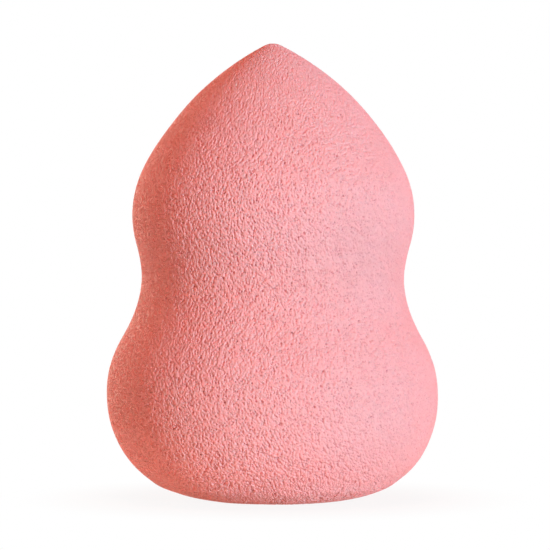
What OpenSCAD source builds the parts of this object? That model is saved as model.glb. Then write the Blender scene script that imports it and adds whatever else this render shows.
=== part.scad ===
// Gourd-shaped makeup sponge: one piece of soft open-cell foam, round about its own upright axis.
// Its profile is five roundings, each tangent to the next: lower bulb, waist, upper bulb, flank, tip.
// Millimetres. The origin is the centre of the flat face that it rests on, with +Z up to the tip.

/* [Overall] */
// Height from the resting face to the tip
overall_h = 60; // [56:0.5:66]

/* [Lower bulb] */
// Widest diameter of the lower bulb
lower_bulb_d = 43.8; // [40:0.2:48]
// Rounding of the lower bulb, which is also the height of its widest ring
lower_bulb_round = 13.8; // [12:0.1:15]

/* [Waist] */
// Rounding of the hollow waist between the two bulbs
waist_round = 15; // [10:0.5:20]

/* [Upper bulb] */
// Widest diameter of the upper bulb
upper_bulb_d = 37.1; // [34:0.1:40]
// Rounding of the upper bulb
upper_bulb_round = 13.8; // [12:0.1:15]
// Height of the upper bulb's widest ring above the resting face
upper_bulb_z = 37.5; // [35:0.5:40]

/* [Tip] */
// Rounding of the long flank that rises from the upper bulb to the tip
flank_round = 37; // [30:1:50]
// Rounding of the tip itself
tip_round = 2.4; // [1:0.1:4]

/* [Hidden] */

// Depth by which neighbouring roundings overlap where they meet, so that they join as one skin
join_overlap = 0.002;
// How far the flank's wedge reaches, as a share of the flank's rounding, so that only its arc is cut
wedge_reach_share = 1.6;
foam_colour = [0.95, 0.64, 0.66];
$fn = 180;

// Centres of the roundings in the profile, as [distance from the axis, height]
lower_centre = [lower_bulb_d / 2 - lower_bulb_round, lower_bulb_round];
upper_centre = [upper_bulb_d / 2 - upper_bulb_round, upper_bulb_z];
tip_centre = [0, overall_h - tip_round];
waist_centre = centre_right_of(lower_centre, upper_centre,
                               lower_bulb_round + waist_round,
                               upper_bulb_round + waist_round);
flank_centre = centre_right_of(tip_centre, upper_centre,
                               flank_round - tip_round,
                               flank_round - upper_bulb_round);

// The point at distance r_a from a and r_b from b, to the right of the way from a to b
function centre_right_of(a, b, r_a, r_b) =
    let (d = norm(b - a))
    let (way = (b - a) / d)
    let (along = (d * d + r_a * r_a - r_b * r_b) / (2 * d))
    a + way * along + [way.y, -way.x] * sqrt(r_a * r_a - along * along);

// The point at distance r from a, on the way from a through b
function beyond(a, b, r) = a + (b - a) / norm(b - a) * r;

module disc(centre, r) {
    translate(centre) circle(r = r);
}

// Core between the axis and the centres, up to the waist's hollow
module waist_section() {
    difference() {
        polygon([[0, 0], [lower_centre.x, 0], lower_centre, waist_centre, upper_centre, [0, upper_centre.y]]);
        disc(waist_centre, waist_round - join_overlap);
    }
}

// Wedge between the upper bulb and the tip, bounded by the flank's arc
module flank_section() {
    reach = flank_round * wedge_reach_share;
    intersection() {
        disc(flank_centre, flank_round - join_overlap);
        polygon([
            [0, upper_centre.y],
            upper_centre,
            beyond(flank_centre, upper_centre, reach),
            beyond(flank_centre, tip_centre, reach),
            tip_centre
        ]);
    }
}

// Half of the upright section, to the right of the axis and above the resting face
module half_profile() {
    intersection() {
        square([lower_bulb_d, overall_h + tip_round]);
        union() {
            disc(lower_centre - [0, join_overlap], lower_bulb_round);
            waist_section();
            disc(upper_centre, upper_bulb_round);
            flank_section();
            disc(tip_centre, tip_round);
        }
    }
}

// The whole sponge
module foam_body() {
    color(foam_colour) rotate_extrude() half_profile();
}

foam_body();
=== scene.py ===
"""Dresses the gourd-shaped makeup sponge: porous pink foam, standing on a white table in soft light."""

import logging
import math
from dataclasses import dataclass, field
from enum import Enum
from typing import Union

import bpy
import numpy as np
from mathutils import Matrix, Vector


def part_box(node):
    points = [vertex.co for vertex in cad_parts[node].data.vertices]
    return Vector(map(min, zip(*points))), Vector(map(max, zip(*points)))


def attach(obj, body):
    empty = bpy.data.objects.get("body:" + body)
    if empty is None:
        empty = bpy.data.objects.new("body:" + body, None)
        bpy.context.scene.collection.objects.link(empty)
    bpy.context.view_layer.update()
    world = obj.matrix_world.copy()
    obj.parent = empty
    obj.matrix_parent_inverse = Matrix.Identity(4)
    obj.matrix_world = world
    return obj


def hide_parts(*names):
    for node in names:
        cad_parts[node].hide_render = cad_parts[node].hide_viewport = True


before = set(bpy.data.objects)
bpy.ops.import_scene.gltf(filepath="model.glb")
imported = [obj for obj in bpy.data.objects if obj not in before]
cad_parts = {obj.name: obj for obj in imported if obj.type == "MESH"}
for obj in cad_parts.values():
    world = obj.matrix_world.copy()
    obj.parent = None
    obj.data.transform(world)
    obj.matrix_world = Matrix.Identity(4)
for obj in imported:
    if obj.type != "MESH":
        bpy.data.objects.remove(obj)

log = logging.getLogger("sponge")
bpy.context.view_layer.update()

MM = 0.001
FOAM_NODE = "foam_body"
ROOT_BODY = "root"
UV_MAP = "OFBake"
SKIN_PLACE = "skin_place"
FULL_TURN = 2 * math.pi

Socket = bpy.types.NodeSocket
Number = Union[Socket, float]
Triple = Union[Socket, tuple, Vector]


def deselect() -> None:
    """Leaves nothing selected, so that an operator acts only on what comes next."""
    bpy.ops.object.select_all(action="DESELECT")


def vertex_places(mesh: bpy.types.Mesh) -> np.ndarray:
    """Reads where a mesh's vertices are.

    Args:
        mesh: The mesh.

    Returns:
        One row of x, y and z for each vertex, in metres.
    """
    places = np.empty(len(mesh.vertices) * 3)
    mesh.vertices.foreach_get("co", places)
    return places.reshape(-1, 3)


@dataclass(frozen=True)
class Wiring:
    """Adds nodes to one node tree and joins them, for materials and for shaping alike.

    Attributes:
        tree: The node tree that the nodes go into.
    """

    tree: bpy.types.NodeTree

    def node(self, kind: str, inputs: dict, **settings: object) -> bpy.types.Node:
        """Adds one node.

        Args:
            kind: The node's type name.
            inputs: What goes into each input, by name or number: another node's output, or a plain value.
            **settings: The node's own properties.

        Returns:
            The new node.
        """
        made = self.tree.nodes.new(kind)
        for name, value in settings.items():
            setattr(made, name, value)
        for name, value in inputs.items():
            if isinstance(value, bpy.types.NodeSocket):
                self.tree.links.new(value, made.inputs[name])
            else:
                made.inputs[name].default_value = value
        return made

    def math(self, operation: str, a: Number, b: Number) -> Socket:
        """Joins two numbers by one operation.

        Args:
            operation: The operation's name, such as MULTIPLY.
            a: The first number.
            b: The second number.

        Returns:
            The result.
        """
        return self.node("ShaderNodeMath", {0: a, 1: b}, operation=operation).outputs[0]

    def vector(self, operation: str, a: Triple, b: Triple) -> Socket:
        """Joins two vectors by one operation.

        Args:
            operation: The operation's name, such as ADD.
            a: The first vector.
            b: The second vector.

        Returns:
            The resulting vector.
        """
        return self.node("ShaderNodeVectorMath", {0: a, 1: b}, operation=operation).outputs[0]

    def scaled(self, vector: Triple, amount: Number) -> Socket:
        """Scales a vector.

        Args:
            vector: The vector.
            amount: The number that it is scaled by.

        Returns:
            The scaled vector.
        """
        made = self.node("ShaderNodeVectorMath", {0: vector, "Scale": amount}, operation="SCALE")
        return made.outputs[0]

    def ramp(self, value: Socket, low: Number, high: Number, at_low: Number, at_high: Number) -> Socket:
        """Turns one range of a number smoothly into another, and holds it at the ends.

        Args:
            value: The number.
            low: Where the range starts.
            high: Where the range ends.
            at_low: The result at the start.
            at_high: The result at the end.

        Returns:
            The result.
        """
        inputs = {0: value, 1: low, 2: high, 3: at_low, 4: at_high}
        return self.node("ShaderNodeMapRange", inputs, interpolation_type="SMOOTHSTEP").outputs[0]

    def noise(self, place: Socket, size: float, detail: float) -> Socket:
        """Adds soft random clouds.

        Args:
            place: The coordinates.
            size: How wide one cloud is, in metres.
            detail: How many finer layers it has.

        Returns:
            The clouds, as a number from 0 to 1.
        """
        inputs = {"Vector": place, "Scale": 1.0 / size, "Detail": detail}
        return self.node("ShaderNodeTexNoise", inputs).outputs["Fac"]

    def cells(self, place: Socket, size: float) -> bpy.types.Node:
        """Adds random cells.

        Args:
            place: The coordinates.
            size: How wide one cell is, in metres.

        Returns:
            The cell node. Its output Distance is 0 in a cell's middle, and Color is random for each cell.
        """
        return self.node("ShaderNodeTexVoronoi", {"Vector": place, "Scale": 1.0 / size})

    def red_green(self, colour: Socket) -> tuple[Socket, Socket]:
        """Splits a cell's colour into two random numbers from 0 to 1.

        Args:
            colour: The cell's colour.

        Returns:
            The two numbers.
        """
        split = self.node("ShaderNodeSeparateXYZ", {0: colour})
        return split.outputs[0], split.outputs[1]

    def mix(self, amount: Number, a: Triple, b: Triple) -> Socket:
        """Mixes two colours.

        Args:
            amount: 0 gives a, and 1 gives b.
            a: The first colour.
            b: The second colour.

        Returns:
            The mixed colour.
        """
        return self.node("ShaderNodeMix", {0: amount, 6: a, 7: b}, data_type="RGBA").outputs[2]


@dataclass(frozen=True)
class Rounding:
    """One arc of the sponge's profile: its centre's radius and height, and its own radius, in metres."""

    r: float
    z: float
    radius: float
    fewest_pieces: int = 5

    def bearing(self, other: "Rounding") -> float:
        """The angle at which another rounding's centre lies from this one's."""
        return math.atan2(other.z - self.z, other.r - self.r)

    def arc(self, start: float, end: float, step: float) -> list[tuple[float, float]]:
        """Walks along the arc.

        Args:
            start: The first angle, from the outward radius.
            end: The last angle.
            step: About how far apart the points lie.

        Returns:
            The points as (radius, height), both ends included.
        """
        pieces = max(self.fewest_pieces, round(abs(end - start) * self.radius / step))
        angles = np.linspace(start, end, pieces + 1)
        return [(self.r + self.radius * math.cos(a), self.z + self.radius * math.sin(a)) for a in angles]


def centre_right_of(a: Rounding, b: Rounding, r_a: float, r_b: float, radius: float) -> Rounding:
    """Finds the rounding that touches two others.

    Args:
        a: The first rounding.
        b: The second rounding.
        r_a: How far the new centre lies from the first one's.
        r_b: How far the new centre lies from the second one's.
        radius: The new rounding's own radius.

    Returns:
        The rounding whose centre lies to the right of the way from a to b.
    """
    d = math.hypot(b.r - a.r, b.z - a.z)
    way = ((b.r - a.r) / d, (b.z - a.z) / d)
    along = (d * d + r_a * r_a - r_b * r_b) / (2 * d)
    aside = math.sqrt(r_a * r_a - along * along)
    return Rounding(a.r + way[0] * along + way[1] * aside, a.z + way[1] * along - way[0] * aside, radius)


@dataclass
class GourdProfile:
    """The sponge's half outline: lower bulb, waist, upper bulb, flank and tip, each tangent to the next.

    Sizes are in metres. The height and the lower bulb's radius come from the frame.
    """

    height: float
    lower_radius: float
    lower_round: float = 13.8 * MM
    waist_round: float = 15 * MM
    upper_radius: float = 18.55 * MM
    upper_round: float = 13.8 * MM
    upper_z: float = 37.5 * MM
    flank_round: float = 37 * MM
    tip_round: float = 2.4 * MM
    step: float = 0.95 * MM
    base_rings: int = 5

    def points(self) -> list[tuple[float, float]]:
        """Draws the outline from the middle of the resting face up to the tip.

        Returns:
            The points as (radius, height), both ends on the axis.
        """
        lower = Rounding(self.lower_radius - self.lower_round, self.lower_round, self.lower_round)
        upper = Rounding(self.upper_radius - self.upper_round, self.upper_z, self.upper_round)
        tip = Rounding(0.0, self.height - self.tip_round, self.tip_round)
        below, above = self.lower_round + self.waist_round, self.upper_round + self.waist_round
        waist = centre_right_of(lower, upper, below, above, self.waist_round)
        above, below = self.flank_round - self.tip_round, self.flank_round - self.upper_round
        flank = centre_right_of(tip, upper, above, below, self.flank_round)
        line = [(r, 0.0) for r in np.linspace(0.0, lower.r, self.base_rings, endpoint=False)]
        line += lower.arc(-math.pi / 2, lower.bearing(waist), self.step)
        line += waist.arc(waist.bearing(lower) % FULL_TURN, waist.bearing(upper) % FULL_TURN, self.step)[1:]
        line += upper.arc(upper.bearing(waist), flank.bearing(upper), self.step)[1:]
        line += flank.arc(flank.bearing(upper), flank.bearing(tip), self.step)[1:]
        line += tip.arc(flank.bearing(tip), math.pi / 2, self.step)[1:]
        line[-1] = (0.0, self.height)
        return line


@dataclass(frozen=True)
class Bulge:
    """A soft swelling or lean of the real sponge at one height, in metres: where, how tall and how far."""

    z: float
    spread: float
    amount: float

    def at(self, z: np.ndarray) -> np.ndarray:
        """How far the skin moves at each height."""
        return self.amount * np.exp(-(((z - self.z) / self.spread) ** 2))


@dataclass(frozen=True)
class Cells:
    """One layer of round hollows. Sizes are in metres, and each hollow's width and depth is its own.

    Attributes:
        spacing: How far apart the hollows lie.
        narrow: The radius of the narrowest hollow.
        wide: The radius of the widest hollow.
        depth: The depth of the deepest hollow.
        shallow_share: The depth of the shallowest hollow as a share of the deepest.
        floor_share: The radius of a hollow's flat floor as a share of its own.
    """

    spacing: float
    narrow: float
    wide: float
    depth: float
    shallow_share: float
    floor_share: float = 0.1

    def sunk(self, wires: Wiring, place: Socket) -> Socket:
        """Draws the hollows, one in the middle of each cell.

        Args:
            wires: The shaping nodes.
            place: The coordinates.

        Returns:
            How far the skin sinks, in metres.
        """
        cells = wires.cells(place, self.spacing)
        width, depth = wires.red_green(cells.outputs["Color"])
        edge = wires.ramp(width, 0.0, 1.0, self.narrow / self.spacing, self.wide / self.spacing)
        floor = wires.math("MULTIPLY", edge, self.floor_share)
        hollow = wires.ramp(cells.outputs["Distance"], floor, edge, 1.0, 0.0)
        deep = wires.ramp(depth, 0.0, 1.0, self.depth * self.shallow_share, self.depth)
        return wires.math("MULTIPLY", hollow, deep)


@dataclass(frozen=True)
class FoamRelief:
    """How the foam's open cells shape its skin. Sizes and depths are in metres.

    The pattern is turned by an odd angle, in radians, so that its own grid lines up with nothing. The cells
    sink more at the base and less at the tip, and the skin rises a little to make up for what they take.
    Nothing goes below the table: lowest is the least x, y and z, and its x and y are far off.
    """

    layers: tuple = (
        Cells(spacing=0.26 * MM, narrow=0.15 * MM, wide=0.23 * MM, depth=0.3 * MM, shallow_share=0.25),
        Cells(spacing=0.56 * MM, narrow=0.11 * MM, wide=0.17 * MM, depth=0.4 * MM, shallow_share=0.2),
    )
    wave_size: float = 13 * MM
    wave_detail: float = 1.0
    wave_height: float = 0.3 * MM
    rise: float = 0.02 * MM
    turn: tuple = (0.6, 0.9, 0.3)
    base_starts: float = 1.5 * MM
    base_ends: float = 11 * MM
    base_share: float = 1.5
    tip_starts: float = 45 * MM
    tip_ends: float = 59 * MM
    tip_share: float = 0.6
    lowest: tuple = (-1.0, -1.0, 0.0)

    def sunk(self, wires: Wiring, place: Socket) -> Socket:
        """Adds up the layers of cells, deeper towards the base and shallower towards the tip.

        Shape and finish both use it, so they agree.

        Args:
            wires: The nodes of the shape or of the finish.
            place: The coordinates on the smooth skin.

        Returns:
            How far the skin sinks there, in metres.
        """
        turn = {"Vector": place, "Rotation": self.turn}
        turned = wires.node("ShaderNodeVectorRotate", turn, rotation_type="EULER_XYZ").outputs[0]
        sunk = 0.0
        for cells in self.layers:
            sunk = wires.math("ADD", sunk, cells.sunk(wires, turned))
        height = wires.node("ShaderNodeSeparateXYZ", {0: place}).outputs["Z"]
        at_base = wires.ramp(height, self.base_starts, self.base_ends, self.base_share, 1.0)
        at_tip = wires.ramp(height, self.tip_starts, self.tip_ends, 1.0, self.tip_share)
        return wires.math("MULTIPLY", wires.math("MULTIPLY", sunk, at_base), at_tip)

    def tree(self) -> bpy.types.NodeTree:
        """Builds the shaping nodes: they keep each place on the smooth skin, and sink the cells into it.

        Returns:
            The node group, for a Geometry Nodes modifier.
        """
        tree = bpy.data.node_groups.new("foam_relief", "GeometryNodeTree")
        tree.interface.new_socket("Geometry", in_out="INPUT", socket_type="NodeSocketGeometry")
        tree.interface.new_socket("Geometry", in_out="OUTPUT", socket_type="NodeSocketGeometry")
        wires = Wiring(tree)
        skin = tree.nodes.new("NodeGroupInput").outputs[0]
        place = tree.nodes.new("GeometryNodeInputPosition").outputs[0]
        normal = tree.nodes.new("GeometryNodeInputNormal").outputs[0]
        kept = tree.nodes.new("GeometryNodeStoreNamedAttribute")
        kept.data_type = "FLOAT_VECTOR"
        kept.inputs["Name"].default_value = SKIN_PLACE
        tree.links.new(skin, kept.inputs["Geometry"])
        tree.links.new(place, kept.inputs["Value"])

        wave = wires.noise(place, self.wave_size, self.wave_detail)
        wave = wires.math("MULTIPLY", wires.math("SUBTRACT", wave, 0.5), self.wave_height)
        raised = wires.math("SUBTRACT", wires.math("ADD", wave, self.rise), self.sunk(wires, place))
        moved = wires.vector("ADD", place, wires.scaled(normal, raised))
        resting = wires.vector("MAXIMUM", moved, self.lowest)
        shaped = wires.node("GeometryNodeSetPosition", {0: kept.outputs[0], "Position": resting})
        end = tree.nodes.new("NodeGroupOutput")
        tree.links.new(shaped.outputs[0], end.inputs[0])
        return tree


@dataclass(frozen=True)
class FoamFinish:
    """The look of the foam: pink on its skin, with painted shade down in its cells and in dark specks.
    Colours are linear.

    Red light scatters far under the skin, and green and blue hardly at all, so that shaded foam looks warm.
    A range says at which values of their noise the clouds or specks start to show and show fully.
    """

    skin: tuple = (0.83, 0.42, 0.46, 1.0)
    # hollow is the colour of painted shade, darker and redder, for the cells and the dark specks.
    hollow: tuple = (0.54, 0.12, 0.155, 1.0)
    blush: tuple = (0.80, 0.33, 0.33, 1.0)
    # Where the painted shade starts and becomes full along the cells' depth, and how strong it gets.
    cell_shade_starts: float = 0.12 * MM
    cell_shade_ends: float = 0.43 * MM
    cell_shade_share: float = 0.62
    blush_share: float = 0.2
    blush_size: float = 7 * MM
    blush_detail: float = 3.0
    blush_range: tuple = (0.35, 0.7)
    # Dark specks of painted shade, for pores too fine for the shape.
    shade_speck_share: float = 0.22
    shade_speck_size: float = 0.25 * MM
    shade_speck_detail: float = 2.0
    shade_speck_range: tuple = (0.5, 0.75)
    bump_strength: float = 0.4
    roughness: tuple = (0.7, 0.92)
    scatter: float = 0.15
    scatter_radius: tuple = (1.0, 0.0008, 0.0006)
    scatter_reach: float = 30 * MM
    shine: float = 0.12
    sheen: float = 0.04
    sheen_roughness: float = 0.5
    sheen_tint: tuple = (1.0, 0.86, 0.87, 1.0)

    def material(self, relief: FoamRelief) -> bpy.types.Material:
        """Builds the foam's material.

        Args:
            relief: The relief whose cells the painted shade and the bump follow.

        Returns:
            The material.
        """
        made = bpy.data.materials.new("pink_open_cell_foam")
        made.use_nodes = True
        wires = Wiring(made.node_tree)
        shader = made.node_tree.nodes["Principled BSDF"]
        place = wires.node("ShaderNodeAttribute", {}, attribute_name=SKIN_PLACE).outputs["Vector"]
        sunk = relief.sunk(wires, place)
        # How deep the cell is there, which sets the painted shade and the roughness.
        depth = wires.ramp(sunk, self.cell_shade_starts, self.cell_shade_ends, 0.0, 1.0)
        join = made.node_tree.links.new

        clouds = wires.noise(place, self.blush_size, self.blush_detail)
        clouds = wires.ramp(clouds, *self.blush_range, 0.0, self.blush_share)
        # Specks of painted shade, scattered at random, for pores too fine for the shape.
        specks = wires.noise(place, self.shade_speck_size, self.shade_speck_detail)
        specks = wires.ramp(specks, *self.shade_speck_range, 0.0, self.shade_speck_share)
        colour = wires.mix(clouds, self.skin, self.blush)
        colour = wires.mix(specks, colour, self.hollow)
        # Painted shade: the deeper the cell, the darker and redder the colour.
        colour = wires.mix(wires.math("MULTIPLY", depth, self.cell_shade_share), colour, self.hollow)
        join(colour, shader.inputs["Base Color"])
        join(wires.ramp(depth, 0.0, 1.0, *self.roughness), shader.inputs["Roughness"])
        height = wires.math("DIVIDE", sunk, -MM)
        bump = {"Height": height, "Distance": MM, "Strength": self.bump_strength}
        join(wires.node("ShaderNodeBump", bump).outputs[0], shader.inputs["Normal"])

        shader.subsurface_method = "RANDOM_WALK"
        plain = {
            "Subsurface Weight": self.scatter,
            "Subsurface Radius": self.scatter_radius,
            "Subsurface Scale": self.scatter_reach,
            "Specular IOR Level": self.shine,
            "Sheen Weight": self.sheen,
            "Sheen Roughness": self.sheen_roughness,
            "Sheen Tint": self.sheen_tint,
        }
        for name, value in plain.items():
            shader.inputs[name].default_value = value
        return made


class Sheet(Enum):
    """The three patches that the sponge's skin is laid out in, for its own pattern map."""

    BASE = "base"
    WALL = "wall"
    TIP = "tip"


@dataclass(frozen=True)
class PatternMap:
    """Where the three sheets lie in the pattern map, as shares of its width or height.

    Attributes:
        base_run: The share of the profile, from the middle of the base, that the base's disc takes.
        tip_run: The share of the profile, from the tip, that the tip's disc takes.
        seam: The gap that is left beside the wall.
        wall: Where the wall starts and ends.
        disc: The radius of each disc.
        disc_height: The height of the discs' middles.
        base_middle: Where the middle of the base's disc lies.
        tip_middle: Where the middle of the tip's disc lies.
    """

    base_run: float = 0.24
    tip_run: float = 0.2
    seam: float = 0.004
    wall: tuple = (0.012, 0.64)
    disc: float = 0.162
    disc_height: float = 0.83
    base_middle: float = 0.17
    tip_middle: float = 0.51


@dataclass
class FoamBody:
    """The sponge: one closed body of porous foam, turned from its profile.

    Swells move the skin outwards, and fade out within swell_radius of the axis. Leans move it sideways.
    """

    profile: GourdProfile
    relief: FoamRelief = field(default_factory=FoamRelief)
    finish: FoamFinish = field(default_factory=FoamFinish)
    pattern: PatternMap = field(default_factory=PatternMap)
    turn_steps: int = 168
    merge_share: float = 0.01
    swell_radius: float = 10 * MM
    fineness: int = 3
    quick_fineness: int = 2
    swells: tuple = (
        Bulge(0.1 * MM, 0.4 * MM, -0.45 * MM),
        Bulge(0.8 * MM, 0.9 * MM, -0.2 * MM),
        Bulge(1.75 * MM, 0.65 * MM, 0.22 * MM),
        Bulge(4.2 * MM, 3.2 * MM, 0.2 * MM),
        Bulge(13.5 * MM, 3.0 * MM, -0.09 * MM),
        Bulge(22.5 * MM, 2.4 * MM, 0.11 * MM),
        Bulge(28.9 * MM, 2.4 * MM, -0.1 * MM),
        Bulge(55.3 * MM, 3.0 * MM, 0.12 * MM),
    )
    leans: tuple = (
        Bulge(60.0 * MM, 3.0 * MM, -0.12 * MM),
        Bulge(54.0 * MM, 18.0 * MM, 0.1 * MM),
        Bulge(20.0 * MM, 9.0 * MM, -0.11 * MM),
        Bulge(2.0 * MM, 5.0 * MM, 0.14 * MM),
        Bulge(0.8 * MM, 0.9 * MM, 0.18 * MM),
    )

    def build(self) -> bpy.types.Object:
        """Makes the sponge and dresses it.

        Returns:
            The finished piece.
        """
        piece = self.turned()
        self.refine(piece)
        self.lay_out(piece)
        self.settle(piece)
        self.open_cells(piece)
        piece.data.materials.clear()
        piece.data.materials.append(self.finish.material(self.relief))
        return piece

    def turned(self) -> bpy.types.Object:
        """Draws the profile by extruding a vertex along it, and spins it into a closed body.

        Returns:
            The smooth body.
        """
        deselect()
        bpy.ops.mesh.primitive_plane_add(size=self.profile.step, location=(0, 0, 0))
        piece = bpy.context.object
        piece.name = piece.data.name = "sponge_foam"
        bpy.ops.object.mode_set(mode="EDIT")
        bpy.ops.mesh.select_all(action="SELECT")
        bpy.ops.mesh.merge(type="CENTER")
        line = [Vector((r, 0, z)) for r, z in self.profile.points()]
        for here, there in zip(line, line[1:]):
            bpy.ops.mesh.extrude_region_move(TRANSFORM_OT_translate={"value": there - here})
        bpy.ops.mesh.select_all(action="SELECT")
        bpy.ops.mesh.spin(steps=self.turn_steps, angle=FULL_TURN, center=(0, 0, 0), axis=(0, 0, 1))
        bpy.ops.mesh.select_all(action="SELECT")
        bpy.ops.mesh.remove_doubles(threshold=self.profile.step * self.merge_share)
        bpy.ops.mesh.normals_make_consistent(inside=False)
        bpy.ops.object.mode_set(mode="OBJECT")
        return piece

    def refine(self, piece: bpy.types.Object) -> None:
        """Divides the turned faces until they are fine enough to carry the cells.

        Args:
            piece: The smooth body.
        """
        finer = piece.modifiers.new("finer", "SUBSURF")
        finer.levels = finer.render_levels = self.fineness
        bpy.ops.object.modifier_apply(modifier=finer.name)
        bpy.ops.object.shade_smooth()

    def lay_out(self, piece: bpy.types.Object) -> None:
        """Lays the skin out flat as a wall, a disc round the tip and a disc round the base.

        Args:
            piece: The smooth body with even faces.
        """
        mesh, pattern = piece.data, self.pattern
        line = np.array(self.profile.points())
        run = np.concatenate([[0.0], np.cumsum(np.hypot(*np.diff(line, axis=0).T))])
        base_end = pattern.base_run * run[-1]
        tip_start = (1 - pattern.tip_run) * run[-1]
        place = vertex_places(mesh)
        radius = np.hypot(place[:, 0], place[:, 1])
        angle = np.arctan2(place[:, 0], -place[:, 1])
        low, high = run < base_end, run > tip_start
        along = np.interp(place[:, 2], line[:, 1], run)
        from_base = np.interp(radius, line[low, 0], run[low])
        from_tip = np.interp(radius, line[high, 0][::-1], (run[-1] - run[high])[::-1])

        corner = np.empty(len(mesh.loops), np.int32)
        mesh.loops.foreach_get("vertex_index", corner)
        count = np.empty(len(mesh.polygons), np.int32)
        mesh.polygons.foreach_get("loop_total", count)
        face = np.repeat(np.arange(len(count)), count)
        first = np.concatenate([[0], np.cumsum(count)[:-1]])
        face_z = np.add.reduceat(place[corner, 2], first) / count
        z_base = np.interp(base_end, run, line[:, 1])
        z_tip = np.interp(tip_start, run, line[:, 1])
        sheet = np.where(face_z > z_tip, Sheet.TIP.value, Sheet.WALL.value)
        sheet = np.where(face_z < z_base, Sheet.BASE.value, sheet)[face]

        lead = angle[corner[first]][face]
        turned = angle[corner]
        turned = turned - FULL_TURN * np.round((turned - lead) / FULL_TURN)
        uv = np.empty((len(corner), 2))
        uv[:, 0] = 0.5 + turned / FULL_TURN * (1 - 2 * pattern.seam)
        uv[:, 1] = np.interp(along[corner], (base_end, tip_start), pattern.wall)
        for name, middle, reach, most in (
            (Sheet.BASE.value, pattern.base_middle, from_base, base_end),
            (Sheet.TIP.value, pattern.tip_middle, from_tip, run[-1] - tip_start),
        ):
            here = sheet == name
            out = reach[corner[here]] / most * pattern.disc
            uv[here, 0] = middle + out * np.sin(angle[corner[here]])
            uv[here, 1] = pattern.disc_height - out * np.cos(angle[corner[here]])
        layer = mesh.uv_layers.new(name=UV_MAP)
        layer.data.foreach_set("uv", uv.ravel())

    def settle(self, piece: bpy.types.Object) -> None:
        """Gives the body the slight swellings and lean of the real sponge.

        Args:
            piece: The smooth body.
        """
        mesh = piece.data
        place = vertex_places(mesh)
        z = place[:, 2]
        radius = np.maximum(np.hypot(place[:, 0], place[:, 1]), MM)
        swell = sum(bulge.at(z) for bulge in self.swells) * np.clip(radius / self.swell_radius, 0, 1)
        place[:, :2] *= (1 + swell / radius)[:, None]
        place[:, 0] += sum(bulge.at(z) for bulge in self.leans)
        mesh.vertices.foreach_set("co", place.ravel())
        mesh.update()

    def open_cells(self, piece: bpy.types.Object) -> None:
        """Sinks the foam's open cells into the skin, as real shape.

        Args:
            piece: The body with even faces.
        """
        deselect()
        piece.select_set(True)
        bpy.context.view_layer.objects.active = piece
        cells = piece.modifiers.new("open_cells", "NODES")
        cells.node_group = self.relief.tree()
        bpy.ops.object.modifier_apply(modifier=cells.name)


@dataclass(frozen=True)
class Lamp:
    """One square soft light that faces the sponge.

    Attributes:
        name: Its name.
        azimuth: How far it stands to the right of the camera, in degrees.
        elevation: How high it stands, in degrees.
        size: How wide it is, in metres.
        watts: Its power.
        tint: Its colour.
        away: How far from the sponge it stands, in metres.
    """

    name: str
    azimuth: float
    elevation: float
    size: float
    watts: float
    tint: tuple
    away: float = 0.9

    def hang(self, aim: Vector) -> None:
        """Adds the light to the scene.

        Args:
            aim: The place that it faces.
        """
        data = bpy.data.lights.new(self.name, "AREA")
        data.shape = "SQUARE"
        data.size = self.size
        data.energy = self.watts
        data.color = self.tint
        light = bpy.data.objects.new(self.name, data)
        bpy.context.scene.collection.objects.link(light)
        side, up = math.radians(self.azimuth), math.radians(self.elevation)
        way = Vector((math.sin(side) * math.cos(up), -math.cos(side) * math.cos(up), math.sin(up)))
        light.location = aim + way * self.away
        light.rotation_euler = way.to_track_quat("Z", "Y").to_euler()


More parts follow.
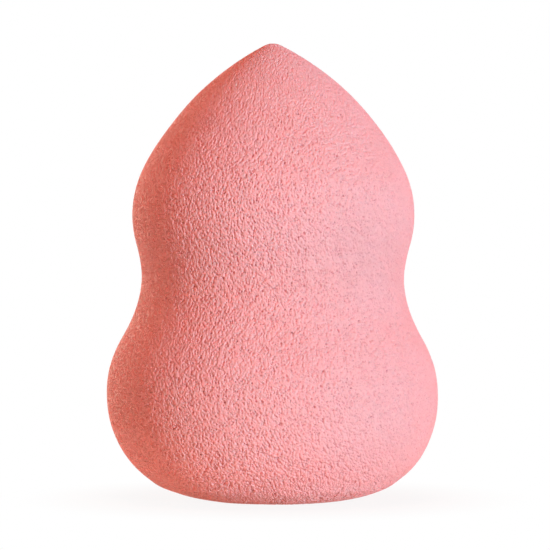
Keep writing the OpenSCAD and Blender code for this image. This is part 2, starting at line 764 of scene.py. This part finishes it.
@dataclass
class Studio:
    """The white table, the soft lights and the camera. Lengths are in metres and angles in degrees.

    A low light stands at the right, warm ones at the left and above, and two behind. The surround and
    the table look white. The table keeps a faint shadow, which fades from shadow_starts to shadow_ends.
    Near the sponge it also gives off a warm glow, which fades from glow_starts to glow_ends and isn't
    seen itself.
    """

    aim: Vector = field(default_factory=lambda: Vector((0.27 * MM, 0, 29.56 * MM)))
    distance: float = 0.6
    elevation: float = 2.18
    pixels_per_mm: float = 7.593
    frame_pixels: int = 550
    sensor: float = 36.0
    nearest: float = 0.01
    farthest: float = 50.0
    white: tuple = (1.0, 1.0, 1.0, 1.0)
    table_size: float = 6.0
    table_colour: tuple = (0.8, 0.8, 0.8, 1.0)
    shadow_share: float = 0.1
    shadow_starts: float = 14 * MM
    shadow_ends: float = 36 * MM
    glow: tuple = (1.0, 0.48, 0.23, 1.0)
    glow_strength: float = 0.3
    glow_starts: float = 35 * MM
    glow_ends: float = 55 * MM
    surround: tuple = (1.0, 0.2, 0.15, 1.0)
    surround_strength: float = 0.03
    lamps: tuple = (
        Lamp("key_light", azimuth=39.5, elevation=4, size=0.1, watts=8.3, tint=(0.64, 0.95, 1.0)),
        Lamp("left_fill", azimuth=-40, elevation=10, size=0.4, watts=2.1, tint=(1.0, 0.38, 0.15)),
        Lamp("top_fill", azimuth=0, elevation=70, size=0.4, watts=3.9, tint=(0.96, 0.37, 0.27)),
        Lamp("left_rim", azimuth=-143, elevation=9, size=0.4, watts=7.4, tint=(1.0, 0.83, 0.62)),
        Lamp("right_rim", azimuth=128, elevation=10, size=0.4, watts=4.0, tint=(1.0, 0.06, 0.04)),
    )

    def set_camera(self) -> None:
        """Looks at the sponge from the front, a little above its middle, as the photograph does."""
        data = bpy.data.cameras.new("camera")
        camera = bpy.data.objects.new("camera", data)
        bpy.context.scene.collection.objects.link(camera)
        data.sensor_width = self.sensor
        data.lens = self.sensor * self.pixels_per_mm * self.distance / MM / self.frame_pixels
        data.clip_start = self.nearest
        data.clip_end = self.farthest
        tilt = math.radians(self.elevation)
        camera.location = self.aim + Vector((0, -math.cos(tilt), math.sin(tilt))) * self.distance
        camera.rotation_euler = (math.pi / 2 - tilt, 0, 0)
        bpy.context.scene.camera = camera

    def set_table(self) -> None:
        """Lays a white table that keeps a faint shadow close to the sponge."""
        deselect()
        bpy.ops.mesh.primitive_plane_add(size=self.table_size, location=(0, 0, 0))
        table = bpy.context.object
        table.name = table.data.name = "table"
        made = bpy.data.materials.new("white_table")
        made.use_nodes = True
        tree = made.node_tree
        tree.nodes.clear()
        wires = Wiring(tree)
        place = wires.node("ShaderNodeTexCoord", {}).outputs["Object"]
        away = wires.node("ShaderNodeVectorMath", {0: place}, operation="LENGTH").outputs["Value"]
        near = wires.ramp(away, self.shadow_starts, self.shadow_ends, self.shadow_share, 0.0)
        paper = wires.node("ShaderNodeBsdfDiffuse", {"Color": self.table_colour}).outputs[0]
        white = wires.node("ShaderNodeEmission", {"Color": self.white, "Strength": 1.0}).outputs[0]
        shown = wires.node("ShaderNodeMixShader", {0: near, 1: white, 2: paper}).outputs[0]
        strength = wires.ramp(away, self.glow_starts, self.glow_ends, self.glow_strength, 0.0)
        glow = wires.node("ShaderNodeEmission", {"Color": self.glow, "Strength": strength}).outputs[0]
        warm = wires.node("ShaderNodeAddShader", {0: paper, 1: glow}).outputs[0]
        result = wires.node("ShaderNodeMixShader", {0: self.seen(wires), 1: warm, 2: shown}).outputs[0]
        end = wires.node("ShaderNodeOutputMaterial", {})
        tree.links.new(result, end.inputs["Surface"])
        table.data.materials.append(made)

    def seen(self, wires: Wiring) -> Socket:
        """Tells what is seen, directly or in a mirror or glass, from what only lights the sponge.

        Args:
            wires: The nodes of the table or of the surround.

        Returns:
            1 where it is seen, and 0 elsewhere.
        """
        paths = wires.node("ShaderNodeLightPath", {}).outputs
        mirrored = wires.math("MAXIMUM", paths["Is Glossy Ray"], paths["Is Transmission Ray"])
        return wires.math("MAXIMUM", paths["Is Camera Ray"], mirrored)

    def set_lights(self) -> None:
        """Hangs the lamps, and sets a surround that looks white and lights the sponge only dimly."""
        for lamp in self.lamps:
            lamp.hang(self.aim)
        world = bpy.data.worlds.new("surround")
        bpy.context.scene.world = world
        world.use_nodes = True
        tree = world.node_tree
        tree.nodes.clear()
        wires = Wiring(tree)
        dim = {"Color": self.surround, "Strength": self.surround_strength}
        dim = wires.node("ShaderNodeBackground", dim).outputs[0]
        white = wires.node("ShaderNodeBackground", {"Color": self.white, "Strength": 1.0}).outputs[0]
        result = wires.node("ShaderNodeMixShader", {0: self.seen(wires), 1: dim, 2: white}).outputs[0]
        end = wires.node("ShaderNodeOutputWorld", {})
        tree.links.new(result, end.inputs["Surface"])


def main() -> None:
    """Builds the sponge and its studio, and reports the piece."""
    logging.basicConfig(level=logging.INFO, format="%(name)s: %(message)s")
    low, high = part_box(FOAM_NODE)
    body = FoamBody(GourdProfile(height=high.z - low.z, lower_radius=(high.x - low.x) / 2))
    piece = body.build()
    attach(piece, ROOT_BODY)
    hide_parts(FOAM_NODE)
    log.info("%s: %d faces, %d vertices", piece.name, len(piece.data.polygons), len(piece.data.vertices))
    studio = Studio()
    studio.set_table()
    studio.set_lights()
    studio.set_camera()
    bpy.context.scene.view_settings.view_transform = "Standard"


if __name__ == "__main__":
    main()
